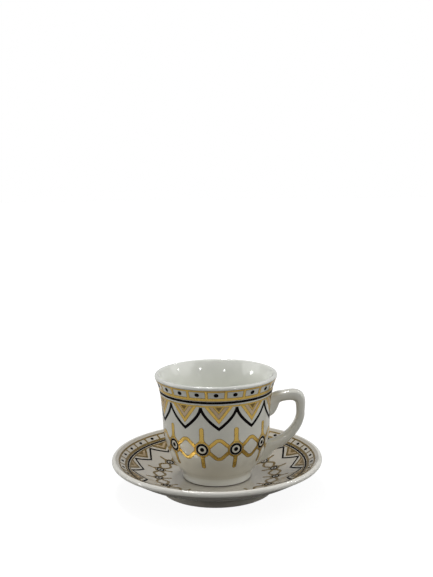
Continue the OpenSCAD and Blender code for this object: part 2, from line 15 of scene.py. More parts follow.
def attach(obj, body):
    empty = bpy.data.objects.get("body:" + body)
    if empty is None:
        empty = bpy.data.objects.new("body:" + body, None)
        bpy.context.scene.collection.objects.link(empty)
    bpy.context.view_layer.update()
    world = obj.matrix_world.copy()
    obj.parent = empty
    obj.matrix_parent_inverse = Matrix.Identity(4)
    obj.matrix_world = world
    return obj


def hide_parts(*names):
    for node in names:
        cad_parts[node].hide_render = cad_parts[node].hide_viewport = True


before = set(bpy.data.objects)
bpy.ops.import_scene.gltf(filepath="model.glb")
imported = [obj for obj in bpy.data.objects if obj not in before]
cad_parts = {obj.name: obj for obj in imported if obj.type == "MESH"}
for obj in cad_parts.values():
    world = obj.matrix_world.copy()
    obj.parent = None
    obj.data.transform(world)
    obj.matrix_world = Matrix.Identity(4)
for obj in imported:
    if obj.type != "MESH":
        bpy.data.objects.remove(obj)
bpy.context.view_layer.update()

MM = 0.001

# Cup, with heights counted from its foot
CUP_Z = 6.5
CUP_R, CUP_H = 33.0, 57.6
FOOT_R, FOOT_H, FOOT_FLARE, FOOT_W, FOOT_HOLLOW = 18.6, 4.2, 0.4, 2.4, 2.8
FOOT_DRAFT, FOOT_ROUND, FOOT_SIDE = 0.3, 0.45, 0.55
WALL_R, WALL_Z, WALL_T, FLOOR_Z = 28.9, 30.0, 2.5, 6.6
LIP_R, LIP_LEAN = 1.15, math.radians(27)

# Saucer, with heights counted from the table. The porcelain's painted shade ends the width of the unshaded
# rim inside the edge, and the underside's curve stops RING_CLEAR outside the foot ring's blend
SAUCER_R, SAUCER_H, WELL_R, WELL_Z, SAUCER_T = 57.0, 18.5, 21.0, 6.5, 2.8
SAUCER_LIP_R, FLANGE_RISE, UNSHADED_RIM = 1.4, math.radians(29), 2.0
RING_R, RING_W, RING_H, RING_FLARE, RING_DRAFT, RING_ROUND = 30.8, 2.6, 1.0, 2.6, 0.4, 0.6
RING_CLEAR = 0.15

# Pull of each curve at its start and at its end, as shares of its own width and height
BOWL_START, BOWL_END = np.array([0.48, 0.17]), np.array([0.97, 0.51])
FLARE_START, FLARE_END = np.array([0.17, 0.6]), 0.21
INSIDE_START, INSIDE_END = 0.68, 0.8
DISH_START, DISH_END = 0.51, 0.26

# Steps along the curves and round the axis, and how many of the bowl's steps the blend from the foot
# takes up
BOWL_STEPS, FLARE_STEPS, LIP_STEPS, DISH_STEPS, BLEND_STEPS = 60, 50, 16, 110, 12
FOOT_BLEND = 11
CUP_SIDES, SAUCER_SIDES, BAND_SIDES = 192, 224, 288

# Handle: reach beyond the wall, heights of its top and tail above the cup's foot, its strap, the fillet
# at the wall, how deep its ends go into the wall, and how many rows the easing of its inner side takes in
# on each side and how fast it sets in round the section
HANDLE_REACH, HANDLE_TOP, HANDLE_TAIL = 19.0, 47.4, 7.2
STRAP_W, STRAP_T, STRAP_SQUARE, STRAP_SIDES, STRAP_STEPS = 6.8, 4.6, 0.72, 48, 12
ROOT_WIDTH, ROOT_DEPTH, FILLET, FILLET_REACH = 1.12, 1.2, 0.5, 0.5
INNER_EASE, INNER_BLEND = 14, 1.6

# Line of the handle from its upper root round to the lower one. Each row has the share of the reach, the
# share of the height from tail to top, and half the thickness there as a share of the strap's
HANDLE_SHARES = np.array([
    [-0.153, 0.69, 0.379], [-0.023, 0.712, 0.505], [0.051, 0.752, 0.594], [0.073, 0.842, 0.675],
    [0.165, 0.903, 0.65], [0.351, 0.925, 0.584], [0.601, 0.937, 0.62], [0.762, 0.906, 0.7],
    [0.845, 0.838, 0.551], [0.86, 0.721, 0.493], [0.866, 0.659, 0.483], [0.827, 0.576, 0.477],
    [0.753, 0.499, 0.497], [0.66, 0.429, 0.508], [0.558, 0.37, 0.545], [0.431, 0.31, 0.598],
    [0.288, 0.266, 0.623], [0.174, 0.235, 0.702], [0.08, 0.17, 0.727], [0.028, 0.098, 0.669],
    [-0.015, 0.057, 0.47], [-0.065, 0.03, 0.2]])

# Bare patches round the handle's roots: the shares of its height that they span, and their margin
UPPER_ROOT, LOWER_ROOT, ROOT_MARGIN = (0.605, 0.965), (-0.04, 0.34), 0.9

# Fired layers: how deep they sink into the glaze and how far they stand out of it, their sloping rim and
# dark outline with the share of a stroke's half width that each may take, and the gap between two layers.
# The profile is the share of the full height at each column across a stroke
FILM_LOW, FILM_TOP, FILM_RIM, OUTLINE = -0.05, 0.06, 0.04, 0.2
RIM_SHARE, OUTLINE_SHARE, FILM_CLEAR = 0.3, 0.6, 0.12
FILM_PROFILE = np.array([0, 1, 1, 1, 1, 1, 1, 1, 0.0])
INNER_COLUMNS = len(FILM_PROFILE) - 4

# How far strokes lie over or under the rest of their layer, where they cross it
BARS_OVER, NEST_UNDER, LINKS_UNDER, STEMS_UNDER = 0.01, 0.01, 0.015, 0.008

# Strokes: the room kept at a corner, the least that a sharp corner and its mitre are divided by, the
# least width of a point, the steps of a bar, and the step over which the slope of the glaze is taken
CORNER_ROOM, TURN_LEAST, MITRE_LEAST, POINT_W = 0.02, 0.02, 0.2, 0.02
BAR_STEPS, SLOPE_STEP = 24, 0.05


# Curves and profiles

def curve(a, b, c, d, steps):
    """Cubic curve: the four points weighted by the cubes of t and 1 - t."""
    t = np.linspace(0, 1, steps + 1)[:, None]
    a, b, c, d = (np.asarray(p, float) for p in (a, b, c, d))
    return (1 - t) ** 3 * a + 3 * t * (1 - t) ** 2 * b + 3 * t * t * (1 - t) * c + t ** 3 * d


def bend(a, b, c, steps):
    """Quadratic curve from a to c, pulled towards b."""
    t = np.linspace(0, 1, steps + 1)[:, None]
    a, b, c = (np.asarray(p, float) for p in (a, b, c))
    return (1 - t) ** 2 * a + 2 * t * (1 - t) * b + t * t * c


def arc(middle, radius, start, end, steps):
    """Points at equal angles round a middle."""
    a = np.linspace(start, end, steps + 1)
    return np.asarray(middle) + radius * np.column_stack([np.cos(a), np.sin(a)])


def joined(*runs):
    """One line from several runs, each without the point that it shares with the run before."""
    rest = [run[1:] if np.allclose(run[0], last[-1]) else run for last, run in zip(runs, runs[1:])]
    return np.vstack([runs[0]] + rest)


def rounded(corners, radius, steps=4):
    """Line through corners, each inner one replaced by a quadratic bend that starts a radius before it,
    or just under half a side where that is less."""
    p = np.asarray(corners, float)
    runs = [p[:1]]
    for before, here, after in zip(p, p[1:], p[2:]):
        back, on = before - here, after - here
        reach = min(radius, np.linalg.norm(back) * 0.49, np.linalg.norm(on) * 0.49)
        runs.append(bend(here + back / np.linalg.norm(back) * reach, here,
                         here + on / np.linalg.norm(on) * reach, steps))
    return np.vstack(runs + [p[-1:]])


lip_middle = np.array([CUP_R - LIP_R, CUP_H - LIP_R])
lip_side = np.array([math.cos(LIP_LEAN), -math.sin(LIP_LEAN)])
lip_up = np.array([math.sin(LIP_LEAN), math.cos(LIP_LEAN)])
neck = np.array([FOOT_R + FOOT_FLARE, FOOT_H])
wall_end = np.array([WALL_R, WALL_Z])
inner_end = np.array([WALL_R - WALL_T, WALL_Z])


def flare(low, high):
    """Curve from the upright wall to a side of the lip, leaving steeply and arriving along the lip's
    lean."""
    run = high - low
    return curve(low, low + FLARE_START * run, high - lip_up * run[1] * FLARE_END, high, FLARE_STEPS)


bowl_run = wall_end - neck
bowl = curve(neck, neck + BOWL_START * bowl_run, neck + BOWL_END * bowl_run, wall_end, BOWL_STEPS)
cup_outside = joined(bowl, flare(wall_end, lip_middle + LIP_R * lip_side))
cup_inside = joined(
    flare(inner_end, lip_middle - LIP_R * lip_side)[::-1],
    curve(inner_end, [inner_end[0], WALL_Z - (WALL_Z - FLOOR_Z) * INSIDE_START],
          [inner_end[0] * INSIDE_END, FLOOR_Z], [0, FLOOR_Z], BOWL_STEPS))
foot_in = FOOT_R - FOOT_W
cup_foot = rounded([[0, FOOT_HOLLOW], [foot_in - FOOT_DRAFT, FOOT_HOLLOW], [foot_in, 0], [FOOT_R, 0],
                    [FOOT_R + FOOT_FLARE * FOOT_SIDE, FOOT_H * FOOT_SIDE]], FOOT_ROUND)
cup_line = joined(
    cup_foot, bend(cup_foot[-1], neck, bowl[FOOT_BLEND], BLEND_STEPS), cup_outside[FOOT_BLEND:],
    arc(lip_middle, LIP_R, -LIP_LEAN, math.pi - LIP_LEAN, LIP_STEPS), cup_inside)

flange = np.array([math.cos(FLANGE_RISE), math.sin(FLANGE_RISE)])
dish_lip_middle = np.array([SAUCER_R - SAUCER_LIP_R, SAUCER_H - SAUCER_LIP_R])
dish_end = dish_lip_middle + SAUCER_LIP_R * np.array([-flange[1], flange[0]])
dish_run = dish_end[0] - WELL_R
dish = curve([WELL_R, WELL_Z], [WELL_R + dish_run * DISH_START, WELL_Z],
             dish_end - flange * dish_run * DISH_END, dish_end, DISH_STEPS)
dish_slope = np.gradient(dish, axis=0)
dish_slope /= np.linalg.norm(dish_slope, axis=1)[:, None]
underside = dish + SAUCER_T * np.column_stack([dish_slope[:, 1], -dish_slope[:, 0]])
ring_top_r, ring_in, ring_roof = RING_R + RING_FLARE, RING_R - RING_W, WELL_Z - SAUCER_T
ring_top = np.array([ring_top_r, np.interp(ring_top_r, underside[:, 0], underside[:, 1])])
saucer_foot = rounded([[RING_R, RING_H], [RING_R, 0], [ring_in, 0], [ring_in - RING_DRAFT, ring_roof],
                       [0, ring_roof]], RING_ROUND)
saucer_line = joined(
    np.array([[0, WELL_Z]]), dish,
    arc(dish_lip_middle, SAUCER_LIP_R, math.pi / 2 + FLANGE_RISE, FLANGE_RISE - math.pi / 2, LIP_STEPS),
    underside[underside[:, 0] > ring_top_r + RING_CLEAR][::-1],
    curve(ring_top, [RING_R + RING_FLARE / 2, ring_top[1]], [RING_R, ring_top[1]], saucer_foot[0],
          BLEND_STEPS),
    saucer_foot)

wall_z_table = np.concatenate([[0], cup_outside[:, 1]])
wall_r_table = np.concatenate([[FOOT_R], cup_outside[:, 0]])


def wall_radius(z):
    """Outside radius of the cup at a height above its foot."""
    return np.interp(z, wall_z_table, wall_r_table)


def dish_height(r):
    """Height of the saucer's upper face at a radius."""
    return np.interp(r, dish[:, 0], dish[:, 1])


# Meshes

# Distance in metres under which points are merged
MERGE = 1e-7


def grid_quads(rows, cols, close_rows=False, close_cols=False):
    """Four-sided faces of a grid of points counted row by row, closed on itself where asked."""
    row_steps, col_steps = np.arange(rows - (not close_rows)), np.arange(cols - (not close_cols))
    i, j = (steps.ravel() for steps in np.meshgrid(row_steps, col_steps, indexing="ij"))
    i2, j2 = (i + 1) % rows, (j + 1) % cols
    return np.column_stack([i * cols + j, i2 * cols + j, i2 * cols + j2, i * cols + j2])


def put_mesh(name, points, faces, attributes=None, sharp=40):
    """Object at the origin from points in millimetres and faces: doubles are merged, normals turned out,
    and edges that turn by more than sharp degrees stay sharp."""
    mesh = bpy.data.meshes.new(name)
    mesh.from_pydata(np.asarray(points, float) * MM, [], faces)
    for key, values in (attributes or {}).items():
        mesh.attributes.new(key, "FLOAT", "POINT").data.foreach_set("value", np.asarray(values, np.float32))
    work = bmesh.new()
    work.from_mesh(mesh)
    bmesh.ops.remove_doubles(work, verts=work.verts, dist=MERGE)
    bmesh.ops.recalc_face_normals(work, faces=work.faces)
    work.to_mesh(mesh)
    work.free()
    mesh.polygons.foreach_set("use_smooth", np.ones(len(mesh.polygons), bool))
    mesh.set_sharp_from_angle(angle=math.radians(sharp))
    piece = bpy.data.objects.new(name, mesh)
    bpy.context.scene.collection.objects.link(piece)
    return piece


def revolved(name, line, lift, sides, unshaded):
    """Surface of revolution: each point of a line (radius, height) goes round the axis in equal turns.
    The last argument marks the points of the line that are kept out of the painted shade."""
    a = np.arange(sides) * 2 * math.pi / sides
    r, z = line[:, 0][:, None], line[:, 1][:, None] + lift
    points = np.stack([r * np.cos(a), r * np.sin(a), z + 0 * a], axis=-1)
    return put_mesh(name, points.reshape(-1, 3), grid_quads(len(line), sides, close_cols=True).tolist(),
                    {"unshaded": np.repeat(np.asarray(unshaded, float), sides)})


def smooth_through(points, steps):
    """Curve through every point, each stretch a cubic whose slope at a point is half the step across
    it."""
    padded = np.vstack([points[:1], points, points[-1:]])
    t = (np.arange(steps) / steps)[:, None]
    a, b, c, d = (padded[k:len(padded) - 3 + k, None] for k in range(4))
    runs = (b + (c - a) * t / 2 + (2 * a - 5 * b + 4 * c - d) * t ** 2 / 2
            + (3 * b - a - 3 * c + d) * t ** 3 / 2)
    return np.vstack([runs.reshape(-1, points.shape[1]), points[-1:]])


def handle_strap(name):
    """Rounded strap carried along the handle's line. Near the wall its skin swells into a fillet of
    glaze, and its inner side is averaged along the strap so that the corners are round. What would lie
    deeper in the wall than the root's depth is drawn back to that depth."""
    height = HANDLE_TAIL + HANDLE_SHARES[:, 1] * (HANDLE_TOP - HANDLE_TAIL)
    knots = np.column_stack([wall_radius(height) + HANDLE_SHARES[:, 0] * HANDLE_REACH, height,
                             HANDLE_SHARES[:, 2] * STRAP_T])
    line = smooth_through(knots, STRAP_STEPS)
    run = np.gradient(line[:, :2], axis=0)
    run /= np.linalg.norm(run, axis=1)[:, None]
    along = np.linspace(-1, 1, len(line))
    half_w = STRAP_W / 2 * (1 + (ROOT_WIDTH - 1) * along ** 2)
    a = np.arange(STRAP_SIDES) * 2 * math.pi / STRAP_SIDES
    across = np.sign(np.cos(a)) * np.abs(np.cos(a)) ** STRAP_SQUARE
    beside = np.sign(np.sin(a)) * np.abs(np.sin(a)) ** STRAP_SQUARE

    def skin(swell):
        """Points of the strap, with its section swollen all round."""
        out = across * line[:, 2:] + swell * np.cos(a)
        side = beside * half_w[:, None] + swell * np.sin(a)
        return np.stack([line[:, :1] - run[:, 1:] * out, side, line[:, 1:2] + run[:, :1] * out], axis=-1)

    points = skin(0.0)
    gap = np.hypot(points[..., 0], points[..., 1]) - wall_radius(points[..., 2])
    points = skin(FILLET * np.exp(-np.maximum(gap, 0) / FILLET_REACH))
    eased = np.pad(points, ((INNER_EASE, INNER_EASE), (0, 0), (0, 0)), mode="edge")
    share = np.hanning(2 * INNER_EASE + 3)[1:-1]
    eased = np.lib.stride_tricks.sliding_window_view(eased, len(share), axis=0) @ (share / share.sum())
    points += (eased - points) * np.clip(-INNER_BLEND * np.cos(a), 0, 1)[:, None]
    radius = np.hypot(points[..., 0], points[..., 1])
    least = np.maximum(wall_radius(points[..., 2]) - ROOT_DEPTH, 0)
    points[..., :2] *= np.maximum(1, least / radius)[..., None]
    points[..., 2] += CUP_Z
    rows = len(line)
    faces = grid_quads(rows, STRAP_SIDES, close_cols=True).tolist()
    faces += [list(range(STRAP_SIDES)), list(range((rows - 1) * STRAP_SIDES, rows * STRAP_SIDES))]
    return put_mesh(name, points.reshape(-1, 3), faces)


# Fired layers

def on_wall(turn, flat, out):
    """Cup wall point: flat x is the offset square to the turn's radius, flat y the height above the foot,
    and out the distance from the glaze along the wall's normal."""
    x, z = flat[..., 0], flat[..., 1]
    slope = (wall_radius(z + SLOPE_STEP) - wall_radius(z - SLOPE_STEP)) / (2 * SLOPE_STEP)
    lean = 1 / np.sqrt(1 + slope ** 2)
    r = wall_radius(z)
    a = turn + np.arcsin(np.clip(x / r, -1, 1))
    r = r + out * lean
    return np.stack([r * np.sin(a), -r * np.cos(a), CUP_Z + z - out * lean * slope], axis=-1)


def on_dish(turn, flat, out):
    """Saucer point: flat x is the offset square to the turn's radius, flat y the distance along that
    radius, and out the distance from the glaze along the dish's normal."""
    x, y = flat[..., 0], flat[..., 1]
    r = np.hypot(x, y)
    slope = (dish_height(r + SLOPE_STEP) - dish_height(r - SLOPE_STEP)) / (2 * SLOPE_STEP)
    lean = 1 / np.sqrt(1 + slope ** 2)
    a = turn + np.arctan2(x, y)
    moved = r - out * lean * slope
    return np.stack([moved * np.sin(a), -moved * np.cos(a), dish_height(r) + out * lean], axis=-1)


def stroke_path(corners, width, step=0.4):
    """Points along a broken line: every corner, and steps between that keep clear of each corner by the
    room that the inner side of the stroke needs there."""
    p = np.asarray(corners, float)
    ahead = np.diff(p, axis=0)
    length = np.linalg.norm(ahead, axis=1)
    heading = ahead / length[:, None]
    straight = np.einsum("ij,ij->i", heading[:-1], heading[1:])
    room = np.full(len(p), CORNER_ROOM)
    room[1:-1] += width / 2 * (1 + CORNER_ROOM) * np.sqrt(
        np.maximum(1 - straight, 0) / np.maximum(1 + straight, TURN_LEAST))
    runs = []
    for i in range(len(length)):
        first, last = room[i], length[i] - room[i + 1]
        spots = np.linspace(first, last, max(2, int((last - first) / step) + 2)) if last > first else []
        runs += [p[i:i + 1], p[i] + heading[i] * np.reshape(spots, (-1, 1))]
    return np.vstack(runs + [p[-1:]])


def stroke(path, width, closed=False):
    """Rows of points across a stroke: the path moved sideways along its mitred normal, for rims that
    slope up from the glaze, a dark outline and the columns between. Returns flat points, height shares
    and distances from the edge."""
    p = np.asarray(path, float)
    width = np.broadcast_to(np.asarray(width, float), len(p))
    before = p - np.roll(p, 1, axis=0)
    after = np.roll(p, -1, axis=0) - p
    if not closed:
        before[0], after[-1] = after[0], before[-1]
    before /= np.linalg.norm(before, axis=1)[:, None]
    after /= np.linalg.norm(after, axis=1)[:, None]
    square_on, square_off = (np.column_stack([-d[:, 1], d[:, 0]]) for d in (before, after))
    sharpness = np.maximum(1 + np.sum(square_on * square_off, axis=1), MITRE_LEAST)
    mitre = (square_on + square_off) / sharpness[:, None]
    half = width[:, None] / 2
    rim, line = np.minimum(FILM_RIM, half * RIM_SHARE), np.minimum(OUTLINE, half * OUTLINE_SHARE)
    inner = (half - line) * np.linspace(-1, 1, INNER_COLUMNS)
    offset = np.hstack([-half, rim - half, inner, half - rim, half])
    flat = p[:, None, :] + mitre[:, None, :] * offset[..., None]
    return flat, FILM_PROFILE, half - np.abs(offset)


def root_distance(points):
    """How far points lie outside the bare patches at the handle's roots, as capsules seen along X."""
    half_w = ROOT_WIDTH * STRAP_W / 2 + ROOT_MARGIN
    nearest = np.full(points.shape[:-1], np.inf)
    z = points[..., 2] - CUP_Z
    for low, high in (UPPER_ROOT, LOWER_ROOT):
        z0 = HANDLE_TAIL + low * (HANDLE_TOP - HANDLE_TAIL) - ROOT_MARGIN + half_w
        z1 = HANDLE_TAIL + high * (HANDLE_TOP - HANDLE_TAIL) + ROOT_MARGIN - half_w
        far = np.hypot(points[..., 1], z - np.clip(z, z0, z1)) - half_w
        nearest = np.minimum(nearest, np.where(points[..., 0] > 0, far, np.inf))
    return nearest


class Layer:
    """One fired layer: strokes laid on a face at chosen turns, kept clear of the handle's roots. Crisp is
    what the width of its dark outlines is divided by."""

    def __init__(self, lay, crisp=1.0):
        self.lay, self.crisp = lay, crisp
        self.points, self.faces, self.edge, self.wash, self.count = [], [], [], [], 0

    def add(self, at, path, width, closed=False, **marks):
        """Lays a stroke along a path at each turn."""
        self.spread(at, *stroke(path, width, closed), closed=closed, **marks)

    def spread(self, at, flat, share, edge, closed=False, top=FILM_TOP, wash=0.0, ink=False):
        """Lays rows of flat points at each turn, without the rows that reach the handle's roots. Wash is
        how matt they are, and ink is as dark all over as an outline."""
        edge = edge * (0.0 if ink else self.crisp)
        out = FILM_LOW + share * (top - FILM_LOW)
        for turn in at:
            points = self.lay(turn, flat, out)
            clear = np.ones(len(points), bool)
            if self.lay is on_wall:
                clear = (root_distance(points) > 0).all(axis=1)
            if clear.all():
                self.keep(points, edge, closed, wash)
                continue
            rows = np.arange(len(points))
            if closed and clear.any():
                rows = np.roll(rows, -int(np.argmin(clear)))
            for run in np.split(rows, np.flatnonzero(np.diff(clear[rows].astype(int))) + 1):
                if clear[run[0]] and len(run) > 1:
                    self.keep(points[run], edge[run], False, wash)

    def keep(self, points, edge, closed, wash=0.0):
        """Adds rows of points as a closed tube, with flat ends unless it is closed on itself."""
        rows, cols = points.shape[:2]
        faces = grid_quads(rows, cols, closed, True)
        ends = [] if closed else [list(range(cols)), list(range((rows - 1) * cols, rows * cols))]
        self.faces += (faces + self.count).tolist() + [[k + self.count for k in e] for e in ends]
        self.points.append(points.reshape(-1, 3))
        self.edge.append(edge.ravel())
        self.wash.append(np.full(rows * cols, wash))
        self.count += rows * cols

    def piece(self, name):
        """The layer as one object, with its marks as attributes."""
        marks = {"edge": np.concatenate(self.edge), "wash": np.concatenate(self.wash)}
        return put_mesh(name, np.vstack(self.points), self.faces, marks, sharp=30)


def circle_path(radius, middle=(0.0, 0.0), steps=48):
    """Closed ring of points round a middle, or an oval where the radius is a pair."""
    return arc(middle, radius, 0, 2 * math.pi, steps)[:-1]


def turns(count, start=0.0):
    """Equal turns from the front, in radians, from a start in degrees."""
    return math.radians(start) + np.arange(count) * 2 * math.pi / count


def bar_path(start, end, steps=BAR_STEPS):
    """Straight run of a bar."""
    y = np.linspace(start, end, steps + 1)
    return np.column_stack([0 * y, y])


def bar_widths(width, length, spread, reach, steps=BAR_STEPS):
    """Width along a bar whose far end is round; its root is wider by spread, which dies out over
    reach."""
    along = np.linspace(0, length, steps + 1)
    back = np.minimum(length - along, width / 2)
    end = 2 * np.sqrt(np.maximum((width / 2) ** 2 - (width / 2 - back) ** 2, POINT_W ** 2))
    return end + spread * np.maximum(1 - along / reach, 0) ** 2


def band(layer, low, high):
    """Ring round the axis between two heights on the wall, or two radii on the dish."""
    a = np.arange(BAND_SIDES) * 2 * math.pi / BAND_SIDES
    half = (high - low) / 2
    rim, line = min(FILM_RIM, half * RIM_SHARE), min(OUTLINE, half * OUTLINE_SHARE)
    inner = np.linspace(low + line, high - line, INNER_COLUMNS)
    spots = np.concatenate([[low, low + rim], inner, [high - rim, high]])
    flat = np.tile(np.column_stack([0 * spots, spots]), (BAND_SIDES, 1, 1))
    points = layer.lay(a[:, None], flat, FILM_LOW + FILM_PROFILE * (FILM_TOP - FILM_LOW))
    edge = np.minimum(spots - low, high - spots) * layer.crisp
    layer.keep(points, np.tile(edge, (BAND_SIDES, 1)), True)


def dot(layer, at, middle, half_w, half_h, sides=32):
    """Oval dot: rings of points that shrink from its edge to its middle, inside a rim that slopes up from
    the glaze."""
    reach = np.array([1, 1 - FILM_RIM / half_h, 0.66, 0.33, 0, 0])
    share = np.array([0, 1, 1, 1, 1, 0.0])
    flat = circle_path((half_w, half_h), steps=sides)[:, None] * reach[:, None] + [0, middle]
    layer.spread(at, flat, share, np.tile(half_h * (1 - reach), (sides, 1)), closed=True)


def panels(gold, black, low, high, count, start, bar_w, lap, dot_size):
    """Border of two gold lines, each given by its edges, with bars between them that lap over both, and a
    black dot in the middle of each panel."""
    band(gold, *high)
    band(gold, *low)
    bars = turns(count, start + 180 / count)
    gold.add(bars, bar_path(low[1] - lap, high[0] + lap, steps=8), bar_w, top=FILM_TOP + BARS_OVER)
    dot(black, turns(count, start), (low[1] + high[0]) / 2, *dot_size)


# Dark triangle in the chevrons: its gap to the last stroke, as a share of the drop, and its rows
INK_GAP, INK_ROWS = 0.005, 9


def chevrons(layer, at, base, half_w, drop, lift, nest):
    """Nested strokes and a dark triangle that hang by their arms from a line at base. Each stroke is
    given by the shares of the drop between which it lies, and by how much of it is a matt wash."""
    slope = drop / half_w
    square = math.hypot(1, slope)
    for high, low, wash in nest:
        stroke_w = (high - low) * drop / square
        tip = (high + low) / 2 * drop
        arm = (tip + lift) / slope
        path = stroke_path([[-arm, base + lift], [0, base - tip], [arm, base + lift]], stroke_w)
        layer.add(at, path, stroke_w, top=FILM_TOP - NEST_UNDER, wash=wash)
    tip = drop * (nest[-1][1] - INK_GAP)
    t = np.linspace(-lift / tip, 1, INK_ROWS)[:, None]
    path = np.hstack([0 * t, base - tip * t])
    width = np.maximum(2 * tip * (1 - t[:, 0]) / slope, POINT_W)
    layer.add(at, path, width, top=FILM_TOP - NEST_UNDER, ink=True)


# Links: half the flat top as a share of the half width, the height of the ends as a share of the half
# height, the depth of the stroke's middle under the top as a share of the stroke, the gap left at the
# ends, and the round of the corners
LINK_FLAT, LINK_SIDE, LINK_MIDDLE, LINK_GAP, LINK_ROUND = 0.28, 0.437, 0.47, 0.1, 0.7


def links(layer, at, middle, half_w, half_h, width):
    """Upper and lower halves of the blunt six-sided links, each a stroke that runs down into the rings of
    gold on both sides of it."""
    top, side = np.array([half_w * LINK_FLAT, half_h]), np.array([half_w, half_h * LINK_SIDE])
    run = (side - top) / np.linalg.norm(side - top)
    line = top + width / 2 * np.array([run[1], -run[0]])
    corner = line + run * (half_h - width * LINK_MIDDLE - line[1]) / run[1]
    end = line + run * (half_w - LINK_GAP - line[0]) / run[0]
    half = stroke_path(rounded([end, corner, corner * [-1, 1], end * [-1, 1]], LINK_ROUND), width)
    for flip in (1, -1):
        layer.add(at, half * [1, flip] + [0, middle], width, top=FILM_TOP - LINKS_UNDER)


# Share of the gold ring's width that a stem laps over
STEM_LAP = 0.6


def eyes(gold, black, at, middle, sizes, stems, reach, steps):
    """Black rings with a pupil, each inside a ring of gold that has a stem up and a stem down. Sizes are
    the black ring's radius and width, the pupil's radius and the gold ring's width. Each stem has an end,
    a width and a spread, by which it is wider at the ring and which dies out over reach."""
    eye_r, eye_w, pupil_r, gold_w = sizes
    gold_r = eye_r + FILM_CLEAR + gold_w
    gold.add(at, circle_path(gold_r - gold_w / 2, (0, middle), steps), gold_w, closed=True)
    for end, width, spread in stems:
        start = math.copysign(gold_r - gold_w * STEM_LAP, end)
        widths = bar_widths(width, abs(end - start), spread, reach)
        gold.add(at, bar_path(middle + start, middle + end), widths, top=FILM_TOP - STEMS_UNDER)
    black.add(at, circle_path(eye_r - eye_w / 2, (0, middle), steps), eye_w, closed=True)
    dot(black, at, middle, pupil_r, pupil_r)


# Cup print: how many panels and repeats go round, and the degrees from the front at which the scallops
# start
CUP_PANELS, CUP_REPEATS, SCALLOP_TURN = 20, 10, 2.5

# Down from the lip: a gap, a gold line, the panels, a gold line, a gap, the black stripe, a gap and the
# gold line that the chevrons hang from
LIP_GAP, UPPER_LINE, PANEL_H, LOWER_LINE = 0.6, 1.1, 3.2, 1.7
STRIPE_GAP, STRIPE_H, CHEVRON_GAP, CHEVRON_LINE = 0.25, 1.35, 0.8, 0.9

# Panels: the width of their bars, how far these lap over the lines, and half the width and height of the
# dots
PANEL_BAR, PANEL_LAP, PANEL_DOT = 1.7, 0.25, (1.24, 1.08)

# Chevrons: half width as a share of a scallop's, drop from the line, lift into it, and strokes
CHEVRON_SHARE, CHEVRON_DROP, CHEVRON_LIFT = 0.78, 9.2, 0.42
CHEVRON_NEST = ((1.0, 0.7, 0.0), (0.69, 0.4, 1.0), (0.4, 0.25, 0.0))

# Scallops: stroke, drop, how far the tip is drawn in as a share of the stroke, how far the cusp is
# lowered, steps and pull of each side
SCALLOP_W, SCALLOP_DROP, SCALLOP_TIP, SCALLOP_CUSP, SCALLOP_STEPS = 1.5, 13.0, 0.8, 0.2, 36
SCALLOP_PULL = np.array([0.1, 0.45])

# Chain: its share of the height from foot to scallops, half height and stroke of its links, its eyes, and
# its stems with how far they pass the scallops' tips and end above the foot
CHAIN_SHARE, LINK_H, LINK_W = 0.657, 6.15, 2.1
EYE_R, EYE_W, PUPIL_R, HALO_W, EYE_STEPS = 3.25, 1.1, 1.15, 1.05, 64
STEM_OVER, STEM_FOOT, STEM_REACH = 1.85, 8.2, 1.9
UP_STEM_W, UP_STEM_SPREAD, DOWN_STEM_W, DOWN_STEM_SPREAD = 2.55, 2.4, 2.2, 0.6

border_top = lip_middle[1] - LIP_GAP
panel_top = border_top - UPPER_LINE
panel_low = panel_top - PANEL_H
border_low = panel_low - LOWER_LINE
stripe_top = border_low - STRIPE_GAP
stripe_low = stripe_top - STRIPE_H
chevron_top = stripe_low - CHEVRON_GAP
chevron_base = chevron_top - CHEVRON_LINE
scallop_top = chevron_base - FILM_CLEAR
scallop_low = chevron_base - SCALLOP_DROP
chain_z = FOOT_H + CHAIN_SHARE * (scallop_low - FOOT_H)
cup_half_turn = math.pi / CUP_REPEATS
cup_tips = turns(CUP_REPEATS, SCALLOP_TURN)
cup_eyes = cup_tips + cup_half_turn
scallop_half = wall_radius(scallop_top) * math.sin(cup_half_turn)
chain_half = wall_radius(chain_z) * math.sin(cup_half_turn)

cup_border, cup_dots = Layer(on_wall, crisp=0.75), Layer(on_wall)
panels(cup_border, cup_dots, (border_low, panel_low), (panel_top, border_top), CUP_PANELS, 0.0, PANEL_BAR,
       PANEL_LAP, PANEL_DOT)

cup_stripe = Layer(on_wall)
band(cup_stripe, stripe_low, stripe_top)

cup_chevrons = Layer(on_wall)
band(cup_chevrons, chevron_base, chevron_top)
chevrons(cup_chevrons, cup_tips, chevron_base, scallop_half * CHEVRON_SHARE, CHEVRON_DROP, CHEVRON_LIFT,
         CHEVRON_NEST)

cup_scallops = Layer(on_wall)
tip = np.array([0.0, scallop_low + SCALLOP_W * SCALLOP_TIP])
cusp = np.array([scallop_half, scallop_top - SCALLOP_CUSP])
side = bend(cusp, cusp + SCALLOP_PULL * (tip - cusp), tip, SCALLOP_STEPS)
scallop = np.vstack([side[:-2], tip[None], (side * [-1, 1])[::-1][2:]])
cup_scallops.add(cup_tips, scallop, SCALLOP_W)

cup_chain, cup_rings = Layer(on_wall, crisp=0.55), Layer(on_wall)
links(cup_chain, cup_tips, chain_z, chain_half - EYE_R - FILM_CLEAR, LINK_H, LINK_W)
eyes(cup_chain, cup_rings, cup_eyes, chain_z, (EYE_R, EYE_W, PUPIL_R, HALO_W),
     ((scallop_low + STEM_OVER - chain_z, UP_STEM_W, UP_STEM_SPREAD),
      (FOOT_H + STEM_FOOT - chain_z, DOWN_STEM_W, DOWN_STEM_SPREAD)), STEM_REACH, EYE_STEPS)

